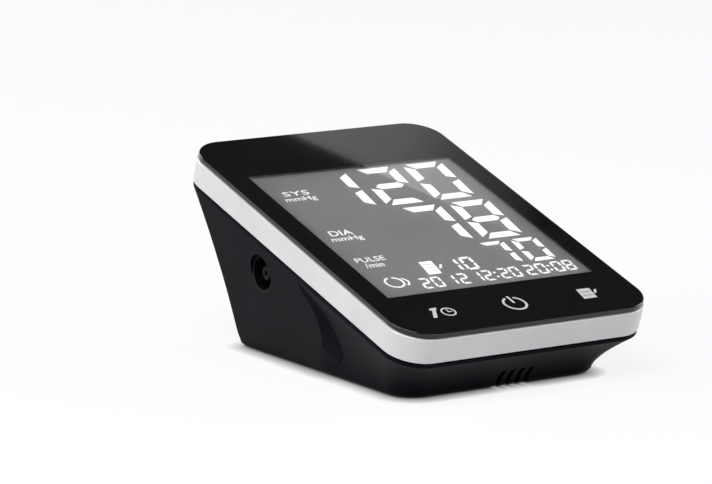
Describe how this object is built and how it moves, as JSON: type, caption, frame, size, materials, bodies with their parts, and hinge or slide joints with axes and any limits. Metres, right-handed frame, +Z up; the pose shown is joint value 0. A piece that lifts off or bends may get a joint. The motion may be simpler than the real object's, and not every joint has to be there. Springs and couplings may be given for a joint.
{
  "type": "desktop blood pressure monitor",
  "caption": "Desktop upper-arm blood pressure monitor: a wedge-shaped console with a sloping glossy touch panel, an air hose socket in its side and a battery door in its base.",
  "frame": {"origin": "on the ground, under the middle of the whole console", "axes": "+X to the right seen from the front, +Y to the back, +Z up"},
  "size_m": [0.1008, 0.1394, 0.0687],
  "materials": {
    "panel_black": "high gloss",
    "clear_window": "gloss",
    "adhesive": "matt",
    "silver_paint": "satin silver paint",
    "dark_abs": "satin",
    "foot_rubber": "matt",
    "screw_steel": "zinc plated",
    "cell_wrap": "printed sleeve",
    "nickel": "nickel plated",
    "lcd_glass": "gloss",
    "light_guide": "frosted clear",
    "white_abs": "matt",
    "strip_rubber": "matt",
    "board_green": "solder mask",
    "chip_epoxy": "matt",
    "capacitor_sleeve": "gloss",
    "connector_nylon": "matt",
    "gold_wire": "gold plated",
    "jack_black": "matt",
    "nozzle_grey": "satin",
    "clip_steel": "bright",
    "silicone": "translucent",
    "can_steel": "plated",
    "ferrite": "matt",
    "core_steel": "laminated",
    "copper": "enamelled copper",
    "black_rubber": "matt",
    "cone_film": "satin film",
    "wire_pvc": "gloss"
  },
  "bodies": {
    "console": {"front_panel": "panel_black", "display_lens": "clear_window", "panel_tape": "adhesive", "silver_frame": "silver_paint", "lower_case": "dark_abs", "rubber_feet": "foot_rubber", "case_screws": "screw_steel", "battery_cells": "cell_wrap", "cell_springs": "nickel", "cell_plates": "nickel", "lcd_glass": "lcd_glass", "light_guide": "light_guide", "lcd_tray": "white_abs", "zebra_strip": "strip_rubber", "main_board": "board_green", "board_chips": "chip_epoxy", "board_capacitors": "capacitor_sleeve", "board_connectors": "connector_nylon", "board_screws": "screw_steel", "touch_springs": "gold_wire", "pressure_sensor": "chip_epoxy", "dc_jack": "jack_black", "dc_pin": "nickel", "air_socket": "jack_black", "air_nozzle": "nozzle_grey", "socket_clip": "clip_steel", "air_manifold": "white_abs", "socket_tube": "silicone", "pump_tube": "silicone", "valve_tube": "silicone", "sensor_tube": "silicone", "motor_can": "can_steel", "motor_cap": "white_abs", "motor_magnets": "ferrite", "motor_brushes": "copper", "pump_housing": "jack_black", "wobble_plate": "white_abs", "pump_diaphragm": "black_rubber", "pump_valves": "silicone", "pump_head": "jack_black", "pump_screws": "screw_steel", "pump_cushion": "black_rubber", "pump_strap": "clip_steel", "strap_screw": "screw_steel", "valve_yoke": "can_steel", "valve_coil": "copper", "valve_cap": "white_abs", "valve_spring": "nickel", "speaker_frame": "can_steel", "speaker_magnet": "ferrite", "wires": "wire_pvc"},
    "door": {"battery_door": "dark_abs"},
    "rotor": {"motor_shaft": "can_steel", "motor_core": "core_steel", "motor_windings": "copper", "motor_commutator": "copper", "pump_crank": "white_abs"},
    "plunger": {"valve_plunger": "can_steel", "valve_seal": "black_rubber"},
    "cone": {"speaker_cone": "cone_film"}
  },
  "joints": [
    {"name": "battery_door_hinge", "type": "hinge", "parent": "console", "child": "door", "pos_m": [0, -0.01823, 0.0015], "axis": [-1, 0, 0], "range_deg": [0, 70]},
    {"name": "pump_rotor_spin", "type": "hinge", "parent": "console", "child": "rotor", "pos_m": [0, 0.03227, 0.033], "axis": [1, 0, 0], "continuous": true},
    {"name": "exhaust_valve_slide", "type": "slide", "parent": "console", "child": "plunger", "axis": [0, 0, 1], "range_m": [0, 0.0008], "stiffness_N_per_m": 80, "springref_m": -0.002, "deforming": ["valve_spring"]},
    {"name": "speaker_cone_slide", "type": "slide", "parent": "console", "child": "cone", "axis": [0, 0, 1], "range_m": [-0.0003, 0.0003], "stiffness_N_per_m": 500}
  ]
}
